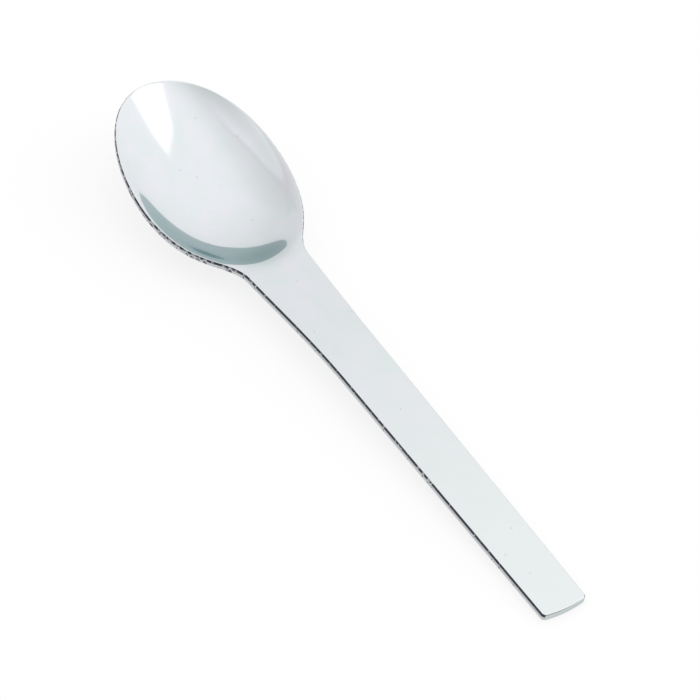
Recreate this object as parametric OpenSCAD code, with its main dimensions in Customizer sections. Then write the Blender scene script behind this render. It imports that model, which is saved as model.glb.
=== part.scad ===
// Flat-handled teaspoon pressed from one piece of polished steel sheet.
// The stamping is built as its three zones, which meet face to face: bowl, neck and handle.
// It lies as on a table, hollow side up, with the handle's end towards +X and the table at z = 0.

/* [Sheet] */
// Thickness of the steel sheet
sheet_t = 1.5; // [0.8:0.1:2.5]

/* [Bowl] */
// Width of the bowl at its widest place
bowl_w = 32; // [26:0.2:40]
// Tip of the bowl to its widest place
bowl_front = 23.6; // [18:0.2:32]
// Widest place of the bowl to its heel
bowl_back = 22.4; // [18:0.2:32]
// Depth of the hollow below the rim at the bowl's widest place
bowl_depth = 4.85; // [3.5:0.05:8]
// How much fuller the hollow is drawn towards the tip than a plain dish
tip_draw = 0.15; // [0:0.05:0.6]
// How much fuller the hollow is drawn towards the heel than a plain dish
heel_draw = 0.98; // [0:0.02:1.2]
// How gently that starts about the widest place, as a share of the way to the heel
heel_turn = 0.2; // [0.1:0.05:1]
// How much steeper the hollow's sides stand than a plain dish's
side_draw = 0.57; // [0:0.01:1]
// Share of its steepness that the hollow loses at the rim's sides
rim_ease = 0.57; // [0:0.01:0.8]
// How far in from the rim the steepness comes back, as a share of the hollow
ease_reach = 0.345; // [0.1:0.005:0.6]
// How softly the hollow runs out into the neck at the heel, as a share of the hollow
heel_blend = 0.225; // [0.1:0.005:0.5]
// Length before the heel over which the rim grows as soft as that
heel_run = 5.2; // [3:0.1:10]

/* [Neck] */
// Width of the neck at the heel
neck_w = 14; // [12:0.1:17]
// Heel to the start of the straight handle
neck_len = 31.4; // [24:0.2:45]
// Depth of the curve where the bowl's outline runs into the neck
shoulder = 3.9; // [1:0.1:5]
// Share of the bowl's width from which its outline runs on straight towards the neck
shoulder_from = 0.55; // [0.4:0.05:0.8]
// Half the length over which the neck's flanks bend into the handle's
flank_blend = 9; // [4:0.5:11]

/* [Handle] */
// Length of the straight flat handle
handle_len = 62.6; // [45:0.2:120]
// Width of the handle where it leaves the neck
handle_w = 11.1; // [9:0.1:12]
// Width of the handle at its end
end_w = 9.8; // [7:0.1:12]
// How far the end bulges past its corners
end_crown = 0.5; // [0.2:0.1:2]
// Radius of the two corners at the end
corner_r = 0.9; // [0.3:0.1:2.5]

/* [Side line] */
// Height of the tip's rim above the handle's flat
tip_lift = 3.3; // [0:0.1:6]
// Depth of the rim's lowest place below the handle's flat
neck_drop = 1.5; // [0:0.1:3]
// Lowest place of the rim to the heel
low_to_heel = 9.5; // [4:0.5:16]

/* [Hidden] */
steel = "#DDE3E4";

// Softness of the hollow's edge along the free rim, where it is all but sharp
rim_blend = 0.01;

// Stations along the spoon, measured from the tip
heel_s = bowl_front + bowl_back;
// The bowl ends and the neck begins where the sheet is flat again
cut_s = bowl_front + bowl_back * sqrt(1 + rim_blend + heel_blend);
low_s = heel_s - low_to_heel;
flat_s = heel_s + neck_len;
end_s = flat_s + handle_len;

// Mesh of the pressed surface: strips across the bowl, and rows along each zone
strips = 24;
front_rows = 12;
back_rows = 20;
neck_rows = 20;
arc_steps = 8;

half_w = bowl_w / 2;
// Place where the neck's straight flank would meet the handle's
flank_s = flat_s - flank_blend;
flank_slope = (neck_w / 2 - strap_line(heel_s)) / (flank_s - heel_s);

// The larger of v and 0, with the corner rounded off between -e and e
function soft_step(v, e) = v <= -e ? 0 : v >= e ? v : pow(v + e, 2) / (4 * e);
// An even S-shaped rise from 0 to 1
function rise(t) = let (c = min(max(t, 0), 1)) c * c * (3 - 2 * c);

// Half-width of the straight handle, carried on towards the neck
function strap_line(s) = handle_w / 2 + (handle_w - end_w) / 2 * (flat_s - s) / handle_len;
// Half-width of the neck, whose flanks spread towards the heel
function strap_half(s) = strap_line(s) + flank_slope * soft_step(flank_s - s, flank_blend);
// Place along the bowl: -1 at the tip, 0 at the widest place and 1 at the heel
function along(s) = (s - bowl_front) / (s < bowl_front ? bowl_front : bowl_back);
// Half-width of the bowl's own oval, which runs out nearly straight by the neck
function oval_half(s) = let (left = 1 - pow(along(s), 2), e = shoulder_from)
    half_w * (left > e * e ? sqrt(left) : (left / e + e) / 2);
// Half-width of the stamping behind the bowl's widest place
function outline_half(s) = strap_half(s) + soft_step(oval_half(s) - strap_half(s), shoulder);

// Height of the rim and of the strap's upper face above the handle's flat
function side_line(s) = s < low_s
    ? tip_lift - (tip_lift + neck_drop) * rise(s / low_s)
    : -neck_drop * (1 - rise((s - low_s) / (flat_s - low_s)));
// Share of the hollow's steepness that is left at a place inside the rim: all of it at the tip
function eased(s, inside) = 1 - rim_ease * (1 - rise(-along(s))) * exp(-max(inside, 0) / ease_reach);
// Softness of the hollow's edge, which grows towards the heel
function edge_blend(s) = rim_blend + heel_blend * rise((s - heel_s) / heel_run + 1);
// Smooth growth behind the bowl's widest place, from the middle of the bowl to the heel
function heelward(b) = min((b + sqrt(b * b + heel_turn * heel_turn)) / 2, 1.2);
// How much fuller than a plain dish the hollow is: towards the heel, towards the tip and up the sides
function drawn(s, y) =
    1 + heel_draw * heelward((s - bowl_front) / bowl_back)
    + tip_draw * pow(min(along(s), 0), 2) + side_draw * min(pow(y / half_w, 2), 1.3);
// How far the hollow is pressed down at a place
function pressed(s, y) =
    let (inside = 1 - pow(along(s), 2) - pow(y / half_w, 2))
    bowl_depth * soft_step(inside, edge_blend(s))
    * eased(s, inside) / eased(bowl_front, 1) * drawn(s, y) / drawn(bowl_front, 0);
// A point of the stamping's upper face
function face_point(s, y) = [s, y, side_line(s) - pressed(s, y)];

// Front of the bowl: a square net drawn out to half an oval, so that no strip closes at the tip
function front_point(u, v) =
    face_point(bowl_front * (1 - v * sqrt(1 - u * u / 2)), half_w * u * sqrt(1 - v * v / 2));
function across(j) = 2 * j / strips - 1;
bowl_net = concat(
    [for (i = [0 : front_rows]) [for (j = [0 : strips]) front_point(across(j), 1 - i / front_rows)]],
    [for (i = [1 : back_rows])
        let (s = bowl_front + (cut_s - bowl_front) * sin(90 * i / back_rows))
        [for (j = [0 : strips]) face_point(s, across(j) * outline_half(s))]]);
neck_net = [for (i = [0 : neck_rows])
    let (s = cut_s + (flat_s - cut_s) * i / neck_rows)
    [for (side = [-1, 1]) face_point(s, side * strap_half(s))]];

// Pose on the table: the end's lower edge and the bowl's underside both touch it
rest_tilt = max([for (row = bowl_net)
    let (p = row[strips / 2]) atan2(-p[2], end_s - p[0])]);
rest_lift = end_s * sin(rest_tilt) + sheet_t * cos(rest_tilt);
tip_x = (side_line(0) - pressed(0, 0) - sheet_t) * sin(rest_tilt);
rest_x = -(end_s * cos(rest_tilt) + tip_x) / 2;

// Points on an arc about a centre, from one angle to another, with its two ends left out if asked
function arc(centre, r, from, to, ends = true) =
    [for (i = [ends ? 0 : 1 : ends ? arc_steps : arc_steps - 1])
        let (a = from + (to - from) * i / arc_steps) centre + r * [cos(a), sin(a)]];

// Outline of the handle's end: a crown that runs into the straight sides by two corner arcs
crown_r = (pow(end_w / 2, 2) + pow(end_crown, 2)) / (2 * end_crown);
taper = atan2((handle_w - end_w) / 2, handle_len);
crown_half = asin((crown_r * sin(taper) + end_w / 2 * cos(taper) - corner_r) / (crown_r - corner_r)) - taper;
crown_c = [end_s - crown_r, 0];
function corner_c(side) = crown_c + (crown_r - corner_r) * [cos(crown_half), side * sin(crown_half)];
handle_outline = concat(
    [[flat_s, -handle_w / 2]],
    arc(corner_c(-1), corner_r, taper - 90, -crown_half),
    arc(crown_c, crown_r, -crown_half, crown_half, ends = false),
    arc(corner_c(1), corner_r, crown_half, 90 - taper),
    [[flat_s, handle_w / 2]]);

// A closed piece of sheet below a net of points, whose rows run along +X and strips along +Y
module sheet_below(net) {
    rows = len(net);
    cols = len(net[0]);
    under = rows * cols;
    top = [for (row = net) each row];
    bottom = [for (p = top) p - [0, 0, sheet_t]];
    function at(i, j) = i * cols + j;
    // The diagonals are mirrored about the middle, so that none cuts a corner off the rim
    function patch(a, b, c, d, left) = left ? [[a, d, c], [a, c, b]] : [[a, d, b], [b, d, c]];
    patches = [for (i = [0 : rows - 2]) for (j = [0 : cols - 2])
        each patch(at(i, j), at(i + 1, j), at(i + 1, j + 1), at(i, j + 1), j < (cols - 1) / 2)];
    rim = concat(
        [for (i = [0 : rows - 1]) at(i, 0)],
        [for (j = [1 : cols - 1]) at(rows - 1, j)],
        [for (i = [rows - 2 : -1 : 0]) at(i, cols - 1)],
        [for (j = [cols - 2 : -1 : 1]) at(0, j)]);
    walls = [for (k = [0 : len(rim) - 1])
        let (a = rim[k], b = rim[(k + 1) % len(rim)])
        each [[a, b, b + under], [a, b + under, a + under]]];
    polyhedron(
        points = concat(top, bottom),
        faces = concat(patches, [for (f = patches) [f[2] + under, f[1] + under, f[0] + under]], walls));
}

// Turns the spoon from its own side line to the way it lies on the table
module lie() {
    translate([rest_x, 0, rest_lift]) rotate([0, rest_tilt, 0]) children();
}

module bowl() {
    color(steel) lie() sheet_below(bowl_net);
}

module neck() {
    color(steel) lie() sheet_below(neck_net);
}

module handle() {
    color(steel) lie() translate([0, 0, -sheet_t]) linear_extrude(height = sheet_t) polygon(handle_outline);
}

bowl();
neck();
handle();
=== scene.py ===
"""A one-piece stamped teaspoon of polished stainless steel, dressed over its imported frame.

The sheet is modelled whole, from one flat grid, and then divided into bowl, neck and handle,
so that the polish runs on across the joints. Sizes are in millimetres until a mesh is placed.
"""
import logging
import math
from dataclasses import dataclass, field
from enum import Enum

import bpy
import numpy as np
from mathutils import Matrix, Vector


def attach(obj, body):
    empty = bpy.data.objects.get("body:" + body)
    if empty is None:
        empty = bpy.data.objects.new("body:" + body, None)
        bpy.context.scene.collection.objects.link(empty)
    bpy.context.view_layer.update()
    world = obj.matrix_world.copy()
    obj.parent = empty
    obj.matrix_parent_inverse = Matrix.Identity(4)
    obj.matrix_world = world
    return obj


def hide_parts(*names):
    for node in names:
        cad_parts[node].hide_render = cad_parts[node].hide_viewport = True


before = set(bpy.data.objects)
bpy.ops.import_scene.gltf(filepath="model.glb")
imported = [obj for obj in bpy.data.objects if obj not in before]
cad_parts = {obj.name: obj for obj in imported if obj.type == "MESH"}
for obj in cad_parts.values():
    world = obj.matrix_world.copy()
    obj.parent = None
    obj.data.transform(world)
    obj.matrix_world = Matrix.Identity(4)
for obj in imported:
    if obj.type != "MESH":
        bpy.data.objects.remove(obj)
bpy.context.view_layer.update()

MM = 0.001
# Places closer than this, in metres, count as one.
SAME_PLACE = 1e-7
LOG = logging.getLogger("teaspoon")


def linear(colour: str) -> tuple[float, float, float, float]:
    """Turns an sRGB hex colour into linear light.

    Args:
        colour: Six hex digits after a hash sign.

    Returns:
        Red, green, blue and an alpha of 1.
    """
    parts = [int(colour[i:i + 2], 16) / 255 for i in (1, 3, 5)]
    bent = [p / 12.92 if p <= 0.04045 else ((p + 0.055) / 1.055) ** 2.4 for p in parts]
    return (*bent, 1.0)


def add_node(tree: bpy.types.NodeTree, kind: str, settings: dict | None = None,
             sockets: dict | None = None) -> bpy.types.Node:
    """Adds one node with its settings, its socket values and its incoming links.

    Args:
        tree: The node tree that takes the node.
        kind: The node's type name.
        settings: Values for the node's own properties.
        sockets: Values or output sockets for its inputs, by name or number.

    Returns:
        The new node.
    """
    node = tree.nodes.new(kind)
    for name, value in (settings or {}).items():
        setattr(node, name, value)
    for name, value in (sockets or {}).items():
        if isinstance(value, bpy.types.NodeSocket):
            tree.links.new(value, node.inputs[name])
        else:
            node.inputs[name].default_value = value
    return node


def soft_step(v: np.ndarray, e: float) -> np.ndarray:
    """Zero below -e, v above e, and a smooth bend between them."""
    return np.where(v <= -e, 0.0, np.where(v >= e, v, (v + e) ** 2 / (4 * e)))


def rise(t: np.ndarray) -> np.ndarray:
    """A smooth rise from 0 at 0 to 1 at 1."""
    c = np.clip(t, 0, 1)
    return c * c * (3 - 2 * c)


class Zone(Enum):
    """The three zones of the stamping, by the name of the solid that each stands for."""

    BOWL = "bowl"
    NECK = "neck"
    HANDLE = "handle"


class Face(Enum):
    """The kinds of surface on the sheet, by material slot."""

    POLISHED = 0
    SHEARED = 1
    TORN = 2


@dataclass(frozen=True)
class PolishedSteel:
    """Stainless steel, rolled, pressed and then buffed on a wheel to a mirror."""

    colour: str = "#BFCACA"
    violet: str = "#C5CACF"
    # Painted sheen, laid on towards the handle's end.
    end_sheen: str = "#CAD3D3"
    # Painted shade, laid into the crease at the heel.
    shade_and_haze: str = "#AAB6B8"
    speck: str = "#9DA5A7"
    grazing: str = "#DCE9E8"
    roughness: tuple[float, float] = (0.035, 0.085)
    haze_mm: float = 9.0
    haze_span: tuple[float, float] = (0.45, 0.9)
    cloud_mm: float = 6.0
    cloud_span: tuple[float, float] = (0.35, 0.65)
    line_mm: tuple[float, float] = (26.0, 0.45)
    line_share: float = 0.35
    ripple_mm: float = 7.0
    ripple_depth_mm: float = 0.012
    end_sheen_mm: tuple[float, float] = (-20.0, 80.0)
    crease_mm: tuple[float, float, float] = (-28.0, 0.0, 4.2)
    crease_size_mm: tuple[float, float, float] = (6.0, 9.0, 6.0)
    speck_mm: float = 11.0
    speck_r_mm: float = 0.34
    speck_core: float = 0.3
    speck_strength: float = 0.3

    def material(self) -> bpy.types.Material:
        """Makes the material.

        Returns:
            A cool mirror with a cloudy haze, faint buffing lines and a few dull specks.
        """
        # A near mirror, cool grey with a breath of violet; the wheel leaves it cloudy and slightly
        # wavy, so that the edges of what it mirrors are soft here and crisp there.
        made = bpy.data.materials.new("mirror_buffed_stainless_steel")
        made.use_nodes = True
        tree = made.node_tree
        shader = tree.nodes["Principled BSDF"]
        place = add_node(tree, "ShaderNodeTexCoord").outputs["Object"]
        ripple = add_node(tree, "ShaderNodeTexNoise", {}, {
            "Vector": place, "Scale": 1 / (self.ripple_mm * MM), "Detail": 1.0}).outputs["Fac"]
        wave = add_node(tree, "ShaderNodeBump", {}, {
            "Strength": 1.0, "Distance": self.ripple_depth_mm * MM, "Height": ripple}).outputs["Normal"]
        tree.links.new(self.tone(tree, place), shader.inputs["Base Color"])
        tree.links.new(self.gloss(tree, place), shader.inputs["Roughness"])
        tree.links.new(wave, shader.inputs["Normal"])
        shader.inputs["Metallic"].default_value = 1.0
        # Steel gains little at a grazing angle, and least in red, so what it mirrors twice goes teal.
        shader.inputs["Specular Tint"].default_value = linear(self.grazing)
        return made

    def tone(self, tree: bpy.types.NodeTree, place: bpy.types.NodeSocket) -> bpy.types.NodeSocket:
        """Colours the steel, which the wheel has left a little uneven, and paints in a sheen towards the
        handle's end and a shade in the heel's crease.

        Args:
            tree: The material's node tree.
            place: Place on the spoon.

        Returns:
            The base colour.
        """
        cloud = add_node(tree, "ShaderNodeTexNoise", {}, {
            "Vector": place, "Scale": 1 / (self.cloud_mm * MM), "Detail": 4.0}).outputs["Fac"]
        tint = add_node(tree, "ShaderNodeMapRange", {}, {
            "Value": cloud, "From Min": self.cloud_span[0], "From Max": self.cloud_span[1]})
        cool = add_node(tree, "ShaderNodeMix", {"data_type": "RGBA"}, {
            "Factor": tint.outputs["Result"], "A": linear(self.colour), "B": linear(self.violet)})
        # Painted sheen: the handle is painted a little brighter towards its end.
        reach = add_node(tree, "ShaderNodeSeparateXYZ", {}, {"Vector": place}).outputs["X"]
        end_sheen = add_node(tree, "ShaderNodeMapRange", {"interpolation_type": "SMOOTHSTEP"}, {
            "Value": reach, "From Min": self.end_sheen_mm[0] * MM, "From Max": self.end_sheen_mm[1] * MM})
        bright = add_node(tree, "ShaderNodeMix", {"data_type": "RGBA"}, {
            "Factor": end_sheen.outputs["Result"], "A": cool.outputs["Result"], "B": linear(self.end_sheen)})
        # Painted shade: the crease at the heel is painted a shade darker.
        crease = add_node(tree, "ShaderNodeMapping", {"vector_type": "TEXTURE"}, {
            "Vector": place, "Location": [c * MM for c in self.crease_mm],
            "Scale": [c * MM for c in self.crease_size_mm]})
        off = add_node(tree, "ShaderNodeVectorMath", {"operation": "LENGTH"}, {0: crease.outputs["Vector"]})
        crease_shade = add_node(tree, "ShaderNodeMapRange", {"interpolation_type": "SMOOTHSTEP"}, {
            "Value": off.outputs["Value"], "From Min": 1.0, "From Max": 0.0})
        crease_shaded = add_node(tree, "ShaderNodeMix", {"data_type": "RGBA"}, {
            "Factor": crease_shade.outputs["Result"], "A": bright.outputs["Result"], "B": linear(self.shade_and_haze)})
        # Dull specks, about one to the square centimetre, are drawn wider than real pits so that they show.
        pits = add_node(tree, "ShaderNodeTexVoronoi", {"voronoi_dimensions": "2D"}, {
            "Vector": place, "Scale": 1 / (self.speck_mm * MM)})
        size = self.speck_r_mm / self.speck_mm
        near = add_node(tree, "ShaderNodeMapRange", {"interpolation_type": "SMOOTHSTEP"}, {
            "Value": pits.outputs["Distance"], "From Min": size, "From Max": size * self.speck_core,
            "To Max": self.speck_strength})
        flecked = add_node(tree, "ShaderNodeMix", {"data_type": "RGBA"}, {
            "Factor": near.outputs["Result"], "A": crease_shaded.outputs["Result"], "B": linear(self.speck)})
        return flecked.outputs["Result"]

    def gloss(self, tree: bpy.types.NodeTree, place: bpy.types.NodeSocket) -> bpy.types.NodeSocket:
        """Sets how sharp the mirror is: cloudy, with the wheel's lines.

        Args:
            tree: The material's node tree.
            place: Place on the spoon.

        Returns:
            The roughness.
        """
        haze = add_node(tree, "ShaderNodeTexNoise", {}, {
            "Vector": place, "Scale": 1 / (self.haze_mm * MM), "Detail": 3.0, "Roughness": 0.55})
        # The wheel's lines run along the spoon; real ones are finer than the render can show.
        along, across = (1 / (size * MM) for size in self.line_mm)
        drawn = add_node(tree, "ShaderNodeMapping", {}, {"Vector": place, "Scale": (along, across, across)})
        lines = add_node(tree, "ShaderNodeTexNoise", {}, {
            "Vector": drawn.outputs["Vector"], "Scale": 1.0, "Detail": 2.0})
        both = add_node(tree, "ShaderNodeMath", {"operation": "MULTIPLY_ADD"}, {
            0: lines.outputs["Fac"], 1: self.line_share, 2: haze.outputs["Fac"]})
        shade_and_haze = add_node(tree, "ShaderNodeMapRange", {}, {
            "Value": both.outputs["Value"], "From Min": self.haze_span[0], "From Max": self.haze_span[1],
            "To Min": self.roughness[0], "To Max": self.roughness[1]})
        return shade_and_haze.outputs["Result"]


@dataclass(frozen=True)
class ShearedEdge:
    """A band of the blanked edge, which is tumbled but not buffed; its dark colour is a painted dark
    reflection.
    """

    name: str
    colour: str
    fleck: str
    fleck_from: tuple[float, float]
    roughness: tuple[float, float]
    rough_span: tuple[float, float] = (0.35, 0.7)
    mark_mm: tuple[float, float] = (0.8, 2.4)
    mark_depth_mm: float = 0.1
    bowl_mm: tuple[float, float] = (-14.0, -34.0)
    bowl_flecks: float = 0.1

    def material(self) -> bpy.types.Material:
        """Makes the material.

        Returns:
            An uneven metal, with a painted dark reflection broken into flecks, most on the bowl's rim.
        """
        # Cut steel rounded by tumbling: light and dark break up in it into short upright flecks, and the
        # dark is a painted dark reflection.
        made = bpy.data.materials.new(self.name)
        made.use_nodes = True
        tree = made.node_tree
        shader = tree.nodes["Principled BSDF"]
        place = add_node(tree, "ShaderNodeTexCoord").outputs["Object"]
        # The punch draws its marks down through the sheet. Real ones are some 0.05 mm wide, too fine to
        # show, so they are drawn coarser.
        around, through = (1 / (size * MM) for size in self.mark_mm)
        drawn = add_node(tree, "ShaderNodeMapping", {}, {
            "Vector": place, "Scale": (around, around, through)})
        marks = add_node(tree, "ShaderNodeTexNoise", {}, {
            "Vector": drawn.outputs["Vector"], "Scale": 1.0, "Detail": 3.0,
            "Roughness": 0.6}).outputs["Fac"]
        reach = add_node(tree, "ShaderNodeSeparateXYZ", {}, {"Vector": place}).outputs["X"]
        bowlward = add_node(tree, "ShaderNodeMapRange", {"interpolation_type": "SMOOTHSTEP"}, {
            "Value": reach, "From Min": self.bowl_mm[0] * MM, "From Max": self.bowl_mm[1] * MM,
            "To Max": self.bowl_flecks})
        broken = add_node(tree, "ShaderNodeMath", {"operation": "ADD"}, {
            0: marks, 1: bowlward.outputs["Result"]})
        spots = add_node(tree, "ShaderNodeMapRange", {"interpolation_type": "SMOOTHSTEP"}, {
            "Value": broken.outputs["Value"],
            "From Min": self.fleck_from[0], "From Max": self.fleck_from[1]})
        patchy = add_node(tree, "ShaderNodeMix", {"data_type": "RGBA"}, {
            "Factor": spots.outputs["Result"], "A": linear(self.colour), "B": linear(self.fleck)})
        gloss = add_node(tree, "ShaderNodeMapRange", {}, {
            "Value": marks, "From Min": self.rough_span[0], "From Max": self.rough_span[1],
            "To Min": self.roughness[1], "To Max": self.roughness[0]})
        scored = add_node(tree, "ShaderNodeBump", {}, {
            "Strength": 1.0, "Distance": self.mark_depth_mm * MM, "Height": marks})
        tree.links.new(patchy.outputs["Result"], shader.inputs["Base Color"])
        tree.links.new(gloss.outputs["Result"], shader.inputs["Roughness"])
        tree.links.new(scored.outputs["Normal"], shader.inputs["Normal"])
        shader.inputs["Metallic"].default_value = 1.0
        return made


@dataclass
class SpoonForm:
    """The stamping's sizes, in millimetres, and the shape that they give.

    Stations s run along the spoon from the bowl's tip, y runs across it and z is measured
    from the handle's flat front, as in the part's source. Draws, eases and caps are shares of a
    plain dish, and break_turn is in degrees.
    """

    sheet_t: float = 1.5
    bowl_w: float = 32.0
    bowl_front: float = 23.6
    bowl_back: float = 22.4
    bowl_depth: float = 4.85
    tip_draw: float = 0.15
    heel_draw: float = 0.98
    heel_turn: float = 0.2
    heel_cap: float = 1.2
    side_draw: float = 0.57
    side_cap: float = 1.3
    rim_ease: float = 0.57
    ease_reach: float = 0.345
    rim_blend: float = 0.01
    heel_blend: float = 0.225
    heel_run: float = 5.2
    neck_w: float = 14.0
    neck_len: float = 31.4
    shoulder: float = 3.9
    shoulder_from: float = 0.55
    flank_blend: float = 9.0
    handle_len: float = 62.6
    handle_w: float = 11.1
    end_w: float = 9.8
    end_crown: float = 0.5
    corner_r: float = 0.9
    tip_lift: float = 3.3
    neck_drop: float = 1.5
    low_to_heel: float = 9.5
    edge_r: float = 0.12
    break_w: float = 0.27
    break_turn: tuple[float, float] = (44.0, 62.0)
    rest_steps: int = 600

    def __post_init__(self) -> None:
        """Works out the stations that the sizes give."""
        self.half_w = self.bowl_w / 2
        self.heel_s = self.bowl_front + self.bowl_back
        self.cut_s = self.bowl_front + self.bowl_back * math.sqrt(1 + self.rim_blend + self.heel_blend)
        self.low_s = self.heel_s - self.low_to_heel
        self.flat_s = self.heel_s + self.neck_len
        self.end_s = self.flat_s + self.handle_len
        self.flank_s = self.flat_s - self.flank_blend
        spare = self.neck_w / 2 - float(self.strap_line(self.heel_s))
        self.flank_slope = spare / (self.flank_s - self.heel_s)

    def strap_line(self, s: np.ndarray) -> np.ndarray:
        """Half width of the tapered strap."""
        return self.handle_w / 2 + (self.handle_w - self.end_w) / 2 * (self.flat_s - s) / self.handle_len

    def strap_half(self, s: np.ndarray) -> np.ndarray:
        """Half width of handle and neck, which flares towards the bowl."""
        return self.strap_line(s) + self.flank_slope * soft_step(self.flank_s - s, self.flank_blend)

    def along(self, s: np.ndarray) -> np.ndarray:
        """Place along the bowl: -1 at the tip, 0 at its widest, 1 at the heel."""
        return (s - self.bowl_front) / np.where(s < self.bowl_front, self.bowl_front, self.bowl_back)

    def oval_half(self, s: np.ndarray) -> np.ndarray:
        """Half width of the bowl's oval, which runs out nearly straight by the neck."""
        left, e = 1 - self.along(s) ** 2, self.shoulder_from
        return self.half_w * np.where(left > e * e, np.sqrt(np.maximum(left, e * e)), (left / e + e) / 2)

    def outline_half(self, s: np.ndarray) -> np.ndarray:
        """Half width of the whole outline behind the bowl's widest place."""
        strap = self.strap_half(s)
        return strap + soft_step(self.oval_half(s) - strap, self.shoulder)

    def side_line(self, s: np.ndarray) -> np.ndarray:
        """Height of the rim and of the strap, seen from the side."""
        rim = self.tip_lift - (self.tip_lift + self.neck_drop) * rise(s / self.low_s)
        neck = -self.neck_drop * (1 - rise((s - self.low_s) / (self.flat_s - self.low_s)))
        return np.where(s < self.low_s, rim, neck)

    def pressed(self, s: np.ndarray, y: np.ndarray) -> np.ndarray:
        """Depth of the hollow below the side line."""
        inside = 1 - self.along(s) ** 2 - (y / self.half_w) ** 2
        blend = self.rim_blend + self.heel_blend * rise((s - self.heel_s) / self.heel_run + 1)
        full = self.eased(s, inside) * self.drawn(s, y)
        whole = self.eased(self.bowl_front, 1.0) * self.drawn(self.bowl_front, 0.0)
        return self.bowl_depth * soft_step(inside, blend) * full / whole

    def drawn(self, s: np.ndarray, y: np.ndarray) -> np.ndarray:
        """How much fuller the hollow is than a plain dish: to the heel, to the tip and up the sides."""
        back = (s - self.bowl_front) / self.bowl_back
        heelward = np.minimum((back + np.sqrt(back ** 2 + self.heel_turn ** 2)) / 2, self.heel_cap)
        tipward = np.minimum(self.along(s), 0) ** 2
        aside = np.minimum((y / self.half_w) ** 2, self.side_cap)
        return 1 + self.heel_draw * heelward + self.tip_draw * tipward + self.side_draw * aside

    def eased(self, s: np.ndarray, inside: np.ndarray) -> np.ndarray:
        """Share of the hollow's steepness that is left inside the rim: all of it at the tip."""
        lost = self.rim_ease * (1 - rise(-self.along(s)))
        return 1 - lost * np.exp(-np.maximum(inside, 0) / self.ease_reach)

    def height(self, s: np.ndarray, y: np.ndarray) -> np.ndarray:
        """Height of the front face."""
        return self.side_line(s) - self.pressed(s, y)

    def lean(self, s: np.ndarray, y: np.ndarray, out: np.ndarray) -> np.ndarray:
        """Angle at which the front face climbs towards the rim.

        Args:
            s: Stations of points near the rim.
            y: Their places across.
            out: Their outward directions in plan, one row each.

        Returns:
            The climb in radians, above zero where the rim stands up.
        """
        step = 0.05
        low = self.height(s - step * out[:, 0], y - step * out[:, 1])
        return np.arctan((self.height(s, y) - low) / step)

    def roll(self, lean: np.ndarray, turn: np.ndarray) -> tuple[np.ndarray, np.ndarray]:
        """The rounding from the front face over the broken edge to the wall.

        Args:
            lean: Climb of the front face at the rim, in radians.
            turn: How far the surface has turned from level, up to a right angle at the wall.

        Returns:
            How far out and how far down the surface has come.
        """
        start, stop = (math.radians(a) for a in self.break_turn)
        flat_r = self.break_w / (stop - start)
        before, within, after = np.minimum(turn, start), np.clip(turn, start, stop), np.maximum(turn, stop)
        wide = (self.edge_r * (np.sin(before) + np.sin(lean)) + flat_r * (np.sin(within) - math.sin(start))
                + self.edge_r * (np.sin(after) - math.sin(stop)))
        deep = (self.edge_r * (np.cos(lean) - np.cos(before)) + flat_r * (math.cos(start) - np.cos(within))
                + self.edge_r * (math.cos(stop) - np.cos(after)))
        return wide, deep

    def rest(self) -> tuple[float, float, float]:
        """The place of the spoon lying on a table, on its bowl and the end of its handle.

        Returns:
            The tilt in radians, and the shifts along X and Z in millimetres.
        """
        s = np.linspace(0, self.heel_s, self.rest_steps)
        tilt = float(np.max(np.arctan2(-self.height(s, 0 * s), self.end_s - s)))
        tip_x = (float(self.height(np.array(0.0), np.array(0.0))) - self.sheet_t) * math.sin(tilt)
        shift = -(self.end_s * math.cos(tilt) + tip_x) / 2
        return tilt, shift, self.end_s * math.sin(tilt) + self.sheet_t * math.cos(tilt)


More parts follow.
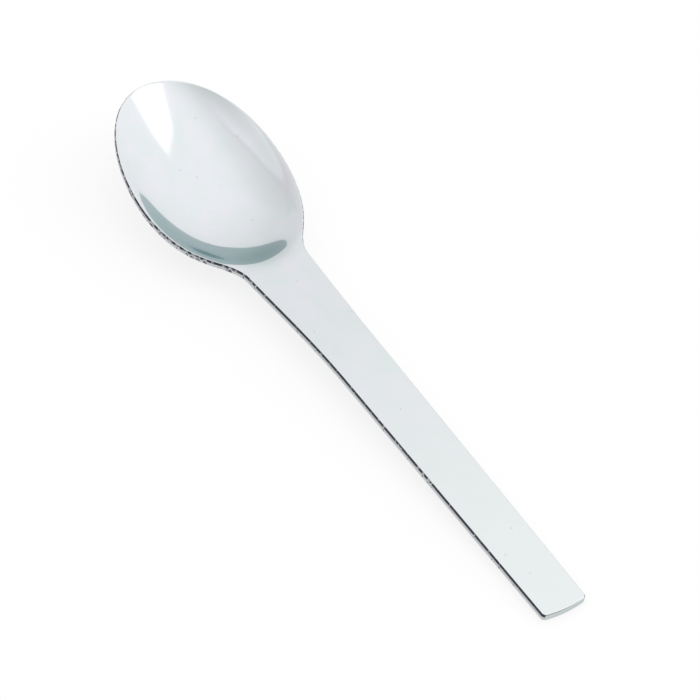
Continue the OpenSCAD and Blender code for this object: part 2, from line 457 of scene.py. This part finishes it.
@dataclass
class Teaspoon:
    """The spoon: one pressed sheet with a rounded rim, divided into its three zones.

    Rows, strips and steps count the mesh's faces. Lengths are in millimetres, and smooth_angle is
    in degrees.
    """

    form: SpoonForm = field(default_factory=SpoonForm)
    polish: PolishedSteel = field(default_factory=PolishedSteel)
    # The upper band's near-black colour is a painted dark reflection.
    sheared: ShearedEdge = ShearedEdge(
        "shear_band_with_painted_dark_reflection", "#484A56", "#C0C5C9", (0.57, 0.67), (0.08, 0.22))
    # The lower band's flecks follow the punch marks, but their dark colour is a painted dark reflection.
    torn: ShearedEdge = ShearedEdge(
        "tumbled_fracture_band_of_steel", "#C4C9CA", "#5C5E67", (0.6, 0.7), (0.15, 0.35))
    strips: int = 96
    front_rows: int = 64
    back_rows: tuple[int, int, int, int] = (44, 40, 48, 50)
    heel_zone: tuple[float, float] = (5.0, 3.0)
    roll_rows: tuple[int, int, int] = (4, 4, 2)
    wall_rows: int = 2
    sheared_share: float = 0.3
    under_rows: int = 6
    end_zone: float = 3.0
    end_rows: int = 8
    corner_steps: int = 8
    crown_steps: int = 24
    end_facing: float = 0.8
    rim_probe: float = 0.4
    tip_probe: float = 0.5
    clear: float = 0.002
    heel_bulge: float = 2.2
    bulge_run: float = 14.0
    smooth_angle: float = 50.0

    def __post_init__(self) -> None:
        """Counts the wall's rows down to the end of its roll, of its upright part and of the whole."""
        self.rolled = sum(self.roll_rows)
        self.walled = self.rolled + self.wall_rows
        self.rows = self.walled + self.under_rows

    def stations(self) -> np.ndarray:
        """Middle stations of the rows behind the bowl's widest place, closest at the heel."""
        f, (before, after) = self.form, self.heel_zone
        turns = (f.bowl_front, f.heel_s - before, f.heel_s + after, f.flat_s, f.end_s - self.end_zone)
        runs = zip(turns[:-1], turns[1:], self.back_rows)
        return np.concatenate([np.linspace(a, b, n + 1)[1:] for a, b, n in runs])

    def inset_rim(self, s: np.ndarray) -> tuple[np.ndarray, np.ndarray]:
        """Points inside the outline from which the rounding of the rim starts.

        Args:
            s: Stations on the outline.

        Returns:
            Their stations and half widths.
        """
        f, step = self.form, 0.01
        slope = (f.outline_half(s + step) - f.outline_half(s - step)) / (2 * step)
        out = np.stack([-slope, np.ones_like(slope)], 1) / np.sqrt(1 + slope ** 2)[:, None]
        half = f.outline_half(s)
        lean = f.lean(s - self.rim_probe * out[:, 0], half - self.rim_probe * out[:, 1], out)
        inner = f.roll(np.maximum(lean, 0), np.array(math.pi / 2))[0]
        return s - inner * out[:, 0], half - inner * out[:, 1]

    def net(self) -> tuple[np.ndarray, np.ndarray]:
        """Plan places of the whole net of the front face, inside the rounding of the rim.

        Returns:
            Stations and places across, one row of the net per row.
        """
        f = self.form
        u = np.linspace(-1, 1, self.strips + 1)
        tip_lean = f.lean(np.array([self.tip_probe]), np.array([0.0]), np.array([[-1.0, 0.0]]))
        tip = f.roll(tip_lean, np.array(math.pi / 2))[0][0]
        side = f.half_w - self.inset_rim(np.array([f.bowl_front]))[1][0]
        v = np.linspace(1, 0, self.front_rows + 1)[:, None]
        front_s = f.bowl_front - (f.bowl_front - tip) * v * np.sqrt(1 - u ** 2 / 2)
        front_y = (f.half_w - side) * u * np.sqrt(1 - v ** 2 / 2)
        mid = self.stations()
        reach = np.clip((mid - f.bowl_front) / f.bowl_back, 0, 1) ** 2
        bulge = self.heel_bulge * reach * (1 - rise((mid - f.heel_s) / self.bulge_run))
        rim_s, rim_y = self.inset_rim(mid - bulge)
        # Each row bows from its station at the middle to the one where it meets the rim.
        back_s = mid[:, None] - (mid - rim_s)[:, None] * (1.5 * u ** 2 - 0.5 * u ** 4)
        back_y = rim_y[:, None] * u
        end_s, end_y = self.end_patch(u)
        return np.concatenate([front_s, back_s, end_s]), np.concatenate([front_y, back_y, end_y])

    def end_patch(self, u: np.ndarray) -> tuple[np.ndarray, np.ndarray]:
        """Rows over the crowned end of the handle, whose corners are small arcs.

        Args:
            u: Places across the strip, from -1 to 1.

        Returns:
            Stations and places across of the rows after the last straight one.
        """
        f = self.form
        crown_r = ((f.end_w / 2) ** 2 + f.end_crown ** 2) / (2 * f.end_crown)
        taper = math.atan2((f.handle_w - f.end_w) / 2, f.handle_len)
        reach = crown_r * math.sin(taper) + f.end_w / 2 * math.cos(taper) - f.corner_r
        crown_half = math.asin(reach / (crown_r - f.corner_r)) - taper
        centre = np.array([f.end_s - crown_r, 0.0])
        corner = centre + (crown_r - f.corner_r) * np.array([math.cos(crown_half), math.sin(crown_half)])
        inner = float(f.roll(np.array(0.0), np.array(math.pi / 2))[0])
        small = f.corner_r - inner
        turn = np.linspace(math.pi / 2 - taper, crown_half, 2 * self.corner_steps + 1)
        arc = corner + small * np.stack([np.cos(turn), np.sin(turn)], 1)
        start_s = f.end_s - self.end_zone
        start = np.array([start_s, self.inset_rim(np.array([start_s]))[1][0]])
        side = np.vstack([start, arc[:self.corner_steps + 1]])
        sweep = np.linspace(crown_half, 0, self.crown_steps + 1)[1:]
        crown = centre + (crown_r - inner) * np.stack([np.cos(sweep), np.sin(sweep)], 1)
        end = np.vstack([arc[self.corner_steps:], crown])
        v = np.linspace(0, 1, self.end_rows + 1)[1:]
        side_v = self.evenly(side, v)
        end_u = self.evenly(end, 1 - np.abs(u)) * np.stack([np.ones_like(u), np.where(u < 0, -1, 1)], 1)
        first = np.stack([np.full_like(u, start[0]), start[1] * u], 1)
        flip, uu = np.array([1.0, -1.0]), (u + 1) / 2
        v, uu = v[:, None, None], uu[None, :, None]
        sides = (1 - uu) * (side_v * flip)[:, None] + uu * side_v[:, None]
        ruled = (1 - v) * first[None] + v * end_u[None]
        left, right = ((1 - v) * first[k] + v * end_u[k] for k in (0, -1))
        patch = ruled + sides - ((1 - uu) * left + uu * right)
        return patch[..., 0], patch[..., 1]

    @staticmethod
    def evenly(path: np.ndarray, t: np.ndarray) -> np.ndarray:
        """Points on a path.

        Args:
            path: The path's corners, one per row.
            t: Shares of its length, from 0 to 1.

        Returns:
            One point per share.
        """
        run = np.concatenate([[0], np.cumsum(np.linalg.norm(np.diff(path, axis=0), axis=1))])
        return np.stack([np.interp(t * run[-1], run, path[:, k]) for k in (0, 1)], 1)

    def press_blank(self) -> bpy.types.Object:
        """Lays a flat grid out on the net and presses it to the front face.

        Returns:
            The sheet without thickness, with its outward directions kept along the rim.
        """
        s, y = self.net()
        rows, strips = s.shape[0] - 1, s.shape[1] - 1
        bpy.ops.object.select_all(action="DESELECT")
        bpy.ops.mesh.primitive_grid_add(x_subdivisions=rows, y_subdivisions=strips, size=2)
        piece = bpy.context.object
        piece.name = "stamping"
        mesh = piece.data
        flat = np.empty(len(mesh.vertices) * 3, np.float32)
        mesh.vertices.foreach_get("co", flat)
        flat = flat.reshape(-1, 3)
        i = np.rint((flat[:, 0] + 1) / 2 * rows).astype(int)
        j = np.rint((flat[:, 1] + 1) / 2 * strips).astype(int)
        ring = ([(0, k) for k in range(strips + 1)] + [(k, strips) for k in range(1, rows + 1)]
                + [(rows, k) for k in range(strips - 1, -1, -1)] + [(k, 0) for k in range(rows - 1, 0, -1)])
        at = tuple(np.array(ring).T)
        loop = np.stack([s[at], y[at]], 1)
        run = np.roll(loop, -1, 0) - np.roll(loop, 1, 0)
        run /= np.linalg.norm(run, axis=1)[:, None]
        out = np.zeros((*s.shape, 3))
        out[at[0], at[1], 0], out[at[0], at[1], 1] = -run[:, 1], run[:, 0]
        sheet = np.stack([s, y, self.form.height(s, y)], -1)
        mesh.vertices.foreach_set("co", (sheet[i, j] * MM).ravel())
        kept = mesh.attributes.new("outward", "FLOAT_VECTOR", "POINT")
        kept.data.foreach_set("vector", out[i, j].ravel())
        mesh.update()
        return piece

    def thicken(self, piece: bpy.types.Object) -> None:
        """Extrudes the sheet down to its thickness and cuts its wall into rows.

        Args:
            piece: The pressed sheet.
        """
        mesh = piece.data
        bpy.ops.object.mode_set(mode="EDIT")
        bpy.ops.mesh.select_all(action="SELECT")
        down = (0, 0, -self.form.sheet_t * MM)
        bpy.ops.mesh.extrude_region_move(TRANSFORM_OT_translate={"value": down})
        bpy.ops.object.mode_set(mode="OBJECT")
        ends = np.empty(len(mesh.edges) * 2, int)
        mesh.edges.foreach_get("vertices", ends)
        places = np.empty(len(mesh.vertices) * 3, np.float32)
        mesh.vertices.foreach_get("co", places)
        span = np.diff(places.reshape(-1, 3)[ends.reshape(-1, 2)], axis=1)[:, 0]
        upright = np.linalg.norm(span[:, :2], axis=1) < SAME_PLACE
        bpy.context.scene.tool_settings.mesh_select_mode = (False, True, False)
        for part in (mesh.vertices, mesh.polygons):
            part.foreach_set("select", np.zeros(len(part), bool))
        mesh.edges.foreach_set("select", upright)
        bpy.ops.object.mode_set(mode="EDIT")
        bpy.ops.mesh.subdivide(number_cuts=self.rows - 1)
        bpy.ops.object.mode_set(mode="OBJECT")

    def round_rim(self, piece: bpy.types.Object) -> None:
        """Swells the wall out to the outline, with a rounded edge above and below.

        Args:
            piece: The thick sheet, whose wall still stands inside the outline.
        """
        f, mesh = self.form, piece.data
        places = np.empty(len(mesh.vertices) * 3, np.float32)
        mesh.vertices.foreach_get("co", places)
        places = places.reshape(-1, 3).astype(float) / MM
        out = np.empty(len(mesh.vertices) * 3, np.float32)
        mesh.attributes["outward"].data.foreach_get("vector", out)
        out = out.reshape(-1, 3)[:, :2].astype(float)
        on_rim = np.linalg.norm(out, axis=1) > 0.5
        base, out = places[on_rim], out[on_rim]
        top = f.height(base[:, 0], base[:, 1])
        row = np.rint((top - base[:, 2]) / f.sheet_t * self.rows)
        lean = np.maximum(f.lean(base[:, 0], base[:, 1], out), 0)
        wide, deep = self.rim_section(lean, row)
        base[:, :2] += out * wide[:, None]
        base[:, 1] = np.clip(base[:, 1], -f.half_w + self.clear, f.half_w - self.clear)
        base[:, 2] = top - deep
        places[on_rim] = base
        mesh.vertices.foreach_set("co", (places * MM).ravel())
        level, endward = np.full(len(mesh.vertices), -1.0), np.zeros(len(mesh.vertices))
        level[on_rim], endward[on_rim] = row, out[:, 0]
        self.mark_bands(mesh, level, endward)
        mesh.attributes.remove(mesh.attributes["outward"])
        mesh.update()

    def rim_section(self, lean: np.ndarray, row: np.ndarray) -> tuple[np.ndarray, np.ndarray]:
        """The section of the rim: rolled over, upright and rounded under.

        Args:
            lean: Climb of the front face at each point of the rim, in radians.
            row: The point's row, counted down the wall.

        Returns:
            How far out and how far down each point goes.
        """
        f = self.form
        first, last = (math.radians(a) for a in f.break_turn)
        steps = np.cumsum(self.roll_rows)
        turn = np.where(row <= steps[0], -lean + (first + lean) * row / steps[0],
                        np.interp(row, steps, (first, last, math.pi / 2)))
        wide, deep = f.roll(lean, turn)
        reach, shelf = f.roll(lean, np.array(math.pi / 2))
        under_r = reach / (1 - np.sin(lean))
        left = np.clip(self.rows - row, 0, self.under_rows) / self.under_rows
        back = lean + (math.pi / 2 - lean) * left
        foot = f.sheet_t - under_r * np.cos(lean)
        share = np.interp(row, (self.rolled, self.rolled + 1, self.walled), (0, self.sheared_share, 1))
        upper, lower = row <= self.rolled, row >= self.walled
        wide = np.where(upper, wide, np.where(lower, under_r * (np.sin(back) - np.sin(lean)), reach))
        deep = np.where(upper, deep, np.where(
            lower, f.sheet_t - under_r * (np.cos(lean) - np.cos(back)), shelf + (foot - shelf) * share))
        return wide, deep

    def mark_bands(self, mesh: bpy.types.Mesh, level: np.ndarray, endward: np.ndarray) -> None:
        """Gives the wall its two sheared bands, except at the handle's end, which is buffed.

        Args:
            mesh: The stamping's mesh, of four-sided faces.
            level: Row of each vertex down the wall, or -1 off the wall.
            endward: How squarely each vertex of the wall faces the handle's end.
        """
        corners = np.empty(len(mesh.loops), int)
        mesh.loops.foreach_get("vertex_index", corners)
        levels = level[corners].reshape(-1, 4)
        lowest, highest = levels.min(axis=1), levels.max(axis=1)
        at_end = endward[corners].reshape(-1, 4).min(axis=1) > self.end_facing
        cut = (lowest >= self.roll_rows[0]) & (highest < self.rows) & ~at_end
        sheared = cut & (highest <= self.rolled + 1)
        kinds = np.where(sheared, Face.SHEARED.value, np.where(cut, Face.TORN.value, Face.POLISHED.value))
        mesh.polygons.foreach_set("material_index", kinds)

    def lay_down(self, piece: bpy.types.Object) -> None:
        """Lays the spoon on the table, with its faces outward.

        Args:
            piece: The finished stamping in its own frame.
        """
        tilt, shift, lift = self.form.rest()
        piece.rotation_euler = (0, tilt, 0)
        piece.location = (shift * MM, 0, lift * MM)
        bpy.ops.object.transform_apply(location=True, rotation=True, scale=True)
        bpy.ops.object.mode_set(mode="EDIT")
        bpy.ops.mesh.select_all(action="SELECT")
        bpy.ops.mesh.normals_make_consistent(inside=False)
        bpy.ops.object.mode_set(mode="OBJECT")

    def divide(self, whole: bpy.types.Object) -> dict[Zone, bpy.types.Object]:
        """Divides the stamping where bowl, neck and handle meet.

        Args:
            whole: The stamping at rest.

        Returns:
            A closed piece for each zone.
        """
        tilt, shift, lift = self.form.rest()
        away = Vector((math.cos(tilt), 0, -math.sin(tilt)))
        origin = Vector((shift * MM, 0, lift * MM))
        joints = [origin + away * (s * MM) for s in (self.form.cut_s, self.form.flat_s)]
        keeps = {Zone.BOWL: (None, joints[0]), Zone.NECK: tuple(joints), Zone.HANDLE: (joints[1], None)}
        pieces = {}
        for zone, (near, far) in keeps.items():
            bpy.ops.object.select_all(action="DESELECT")
            whole.select_set(True)
            bpy.context.view_layer.objects.active = whole
            bpy.ops.object.duplicate()
            piece = bpy.context.object
            piece.name = piece.data.name = f"spoon_{zone.value}"
            bpy.ops.object.mode_set(mode="EDIT")
            for joint, side in ((near, "clear_inner"), (far, "clear_outer")):
                if joint is not None:
                    bpy.ops.mesh.select_all(action="SELECT")
                    bpy.ops.mesh.bisect(plane_co=joint, plane_no=away, use_fill=True,
                                        threshold=SAME_PLACE, **{side: True})
            bpy.ops.object.mode_set(mode="OBJECT")
            bpy.ops.object.shade_smooth_by_angle(angle=math.radians(self.smooth_angle))
            pieces[zone] = piece
        bpy.data.objects.remove(whole)
        return pieces

    def build(self) -> dict[Zone, bpy.types.Object]:
        """Models and dresses the spoon, and puts each zone in its solid's place.

        Returns:
            The finished pieces by zone.
        """
        whole = self.press_blank()
        self.thicken(whole)
        self.round_rim(whole)
        self.lay_down(whole)
        for finish in (self.polish, self.sheared, self.torn):
            whole.data.materials.append(finish.material())
        pieces = self.divide(whole)
        for zone, piece in pieces.items():
            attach(piece, "root")
            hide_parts(zone.value)
        return pieces


@dataclass(frozen=True)
class Viewpoint:
    """Where the camera stands: angles in degrees, lengths in millimetres, its reach in metres."""

    azimuth: float = 47.641
    elevation: float = 46.65
    roll: float = 9.715
    target: tuple[float, float, float] = (0.96, -0.141, 5.0)
    distance: float = 1000.0
    lens: float = 275.6
    sensor: float = 36.0
    reach_m: float = 20.0

    def place(self) -> bpy.types.Object:
        """Makes the camera.

        Returns:
            The camera, set as the scene's own.
        """
        az, el, roll = (math.radians(a) for a in (self.azimuth, self.elevation, self.roll))
        back = Vector((math.sin(az) * math.cos(el), -math.cos(az) * math.cos(el), math.sin(el)))
        right = Vector((0, 0, 1)).cross(back).normalized()
        turned = right * math.cos(roll) + back.cross(right) * math.sin(roll)
        stand = Matrix((turned, back.cross(turned), back)).transposed().to_4x4()
        stand.translation = (Vector(self.target) + back * self.distance) * MM
        bpy.ops.object.camera_add()
        camera = bpy.context.object
        camera.matrix_world = stand
        camera.data.lens = self.lens
        camera.data.sensor_width = self.sensor
        camera.data.clip_end = self.reach_m
        bpy.context.scene.camera = camera
        return camera


@dataclass(frozen=True)
class Patch:
    """A part of the walls that is lighter or darker than the rest.

    Each limit is a direction from the spoon and the two values, of the cosine to it, between which
    the patch comes in.
    """

    change: float
    limits: tuple[tuple[tuple[float, float, float], float, float], ...]

    def cover(self, tree: bpy.types.NodeTree, spot: bpy.types.NodeSocket,
              light: bpy.types.NodeSocket) -> bpy.types.NodeSocket:
        """Lays the patch over the walls.

        Args:
            tree: The world's node tree.
            spot: Direction of the looked-at place.
            light: Brightness of the walls without the patch.

        Returns:
            Their brightness with it.
        """
        share = self.change
        for aim, start, stop in self.limits:
            along = add_node(tree, "ShaderNodeVectorMath", {"operation": "DOT_PRODUCT"}, {
                0: spot, 1: aim})
            within = add_node(tree, "ShaderNodeMapRange", {"interpolation_type": "SMOOTHSTEP"}, {
                "Value": along.outputs["Value"], "From Min": start, "From Max": stop})
            both = add_node(tree, "ShaderNodeMath", {"operation": "MULTIPLY"}, {
                0: share, 1: within.outputs["Result"]})
            share = both.outputs["Value"]
        laid = add_node(tree, "ShaderNodeMath", {"operation": "MULTIPLY_ADD"}, {
            0: light, 1: share, 2: light})
        return laid.outputs["Value"]


@dataclass(frozen=True)
class Surround:
    """The white walls that light the spoon, brighter towards the key.

    The near side is darker, and so is the room beyond the handle's end. A low flag darkens what the
    near edge mirrors. The softbox, high on the far side, gives the white wedge in the bowl. The panel
    is a slightly brighter arc of the near wall, with a darker seam along it. Each direction points
    from the spoon, with +Y away from the camera.
    """

    level: float = 1.302
    key: tuple[float, float, float] = (0.215, 0.105, 0.075)
    near_side: Patch = Patch(-0.13, (((0.376, -0.927, 0.0), -0.213, 0.344),))
    room: Patch = Patch(-0.6, (((0.92, -0.39, 0.0), 0.2, 0.7),))
    flag: Patch = Patch(-0.6, (((-0.45, -0.89, 0.0), 0.6, 0.8), ((0.0, 0.0, 1.0), 0.45, 0.3)))
    softbox: Patch = Patch(0.5, (
        ((0.833, -0.488, 0.26), -0.008, 0.032), ((0.752, 0.549, -0.365), -0.008, 0.032),
        ((0.897, 0.329, -0.296), -0.008, 0.032), ((-0.95, 0.0, 0.31), -0.1, 0.0)))
    panel: Patch = Patch(0.085, (
        ((-0.417, 0.199, 0.887), 0.738, 0.716), ((-0.417, 0.199, 0.887), 0.640, 0.705),
        ((0.0, -1.0, 0.0), 0.15, 0.32)))
    seam: Patch = Patch(-0.045, (
        ((-0.417, 0.199, 0.887), 0.775, 0.742), ((-0.417, 0.199, 0.887), 0.722, 0.738),
        ((0.0, -1.0, 0.0), 0.12, 0.28)))

    def paint(self, tree: bpy.types.NodeTree) -> None:
        """Paints the walls: plain white to the camera, and lit as a studio for the spoon.

        Args:
            tree: The world's node tree, with its background node.
        """
        spot = add_node(tree, "ShaderNodeTexCoord").outputs["Generated"]
        key = add_node(tree, "ShaderNodeVectorMath", {"operation": "DOT_PRODUCT"}, {
            0: spot, 1: self.key})
        wall = add_node(tree, "ShaderNodeMath", {"operation": "ADD"}, {
            0: key.outputs["Value"], 1: self.level})
        light = wall.outputs["Value"]
        for patch in (self.near_side, self.room, self.flag, self.softbox, self.panel, self.seam):
            light = patch.cover(tree, spot, light)
        seen = add_node(tree, "ShaderNodeLightPath").outputs["Is Camera Ray"]
        shown = add_node(tree, "ShaderNodeMix", {}, {"Factor": seen, "A": light, "B": 1.0})
        tree.links.new(shown.outputs["Result"], tree.nodes["Background"].inputs["Strength"])


@dataclass
class Studio:
    """A white table, its size in metres, in a white surround that is a touch warm."""

    view: Viewpoint = field(default_factory=Viewpoint)
    walls: Surround = field(default_factory=Surround)
    floor_size: float = 6.0
    floor_colour: str = "#F6F6F6"
    shadow_share: float = 0.2
    wall_tint: tuple[float, float, float, float] = (1.05, 1.0, 1.0, 1.0)

    def floor(self) -> bpy.types.Object:
        """Lays the table, which keeps the spoon's soft shadow.

        Returns:
            The floor.
        """
        bpy.ops.object.select_all(action="DESELECT")
        bpy.ops.mesh.primitive_plane_add(size=self.floor_size)
        ground = bpy.context.object
        ground.name = "floor"
        # Plain matt card: white to the eye, with only a trace of the spoon's shadow on it.
        made = bpy.data.materials.new("matt_white_card")
        made.use_nodes = True
        tree = made.node_tree
        shader = tree.nodes["Principled BSDF"]
        shader.inputs["Base Color"].default_value = linear(self.floor_colour)
        shader.inputs["Roughness"].default_value = 1.0
        shader.inputs["Specular IOR Level"].default_value = 0.0
        white = add_node(tree, "ShaderNodeEmission", {}, {"Color": (1, 1, 1, 1), "Strength": 1.0})
        rays = add_node(tree, "ShaderNodeLightPath").outputs
        bent = add_node(tree, "ShaderNodeMath", {"operation": "ADD"}, {
            0: rays["Is Glossy Ray"], 1: rays["Is Transmission Ray"]})
        seen = add_node(tree, "ShaderNodeMath", {"operation": "ADD", "use_clamp": True}, {
            0: rays["Is Camera Ray"], 1: bent.outputs["Value"]})
        share = add_node(tree, "ShaderNodeMath", {"operation": "MULTIPLY"}, {
            0: seen.outputs["Value"], 1: 1 - self.shadow_share})
        both = add_node(tree, "ShaderNodeMixShader", {}, {
            0: share.outputs["Value"], 1: shader.outputs["BSDF"], 2: white.outputs["Emission"]})
        tree.links.new(both.outputs["Shader"], tree.nodes["Material Output"].inputs["Surface"])
        ground.data.materials.append(made)
        return ground

    def surround(self) -> None:
        """Puts the walls round the table."""
        world = bpy.data.worlds.new("white_surround")
        bpy.context.scene.world = world
        world.use_nodes = True
        world.node_tree.nodes["Background"].inputs["Color"].default_value = self.wall_tint
        self.walls.paint(world.node_tree)

    def build(self) -> None:
        """Sets up the stage, the light and the camera."""
        self.floor()
        self.surround()
        self.view.place()
        bpy.context.scene.view_settings.view_transform = "Standard"


def main() -> None:
    """Builds the spoon and its studio."""
    logging.basicConfig(level=logging.INFO, format="%(name)s: %(message)s")
    for zone, piece in Teaspoon().build().items():
        LOG.info("%s: %d faces for the %s", piece.name, len(piece.data.polygons), zone.value)
    Studio().build()


if __name__ == "__main__":
    main()
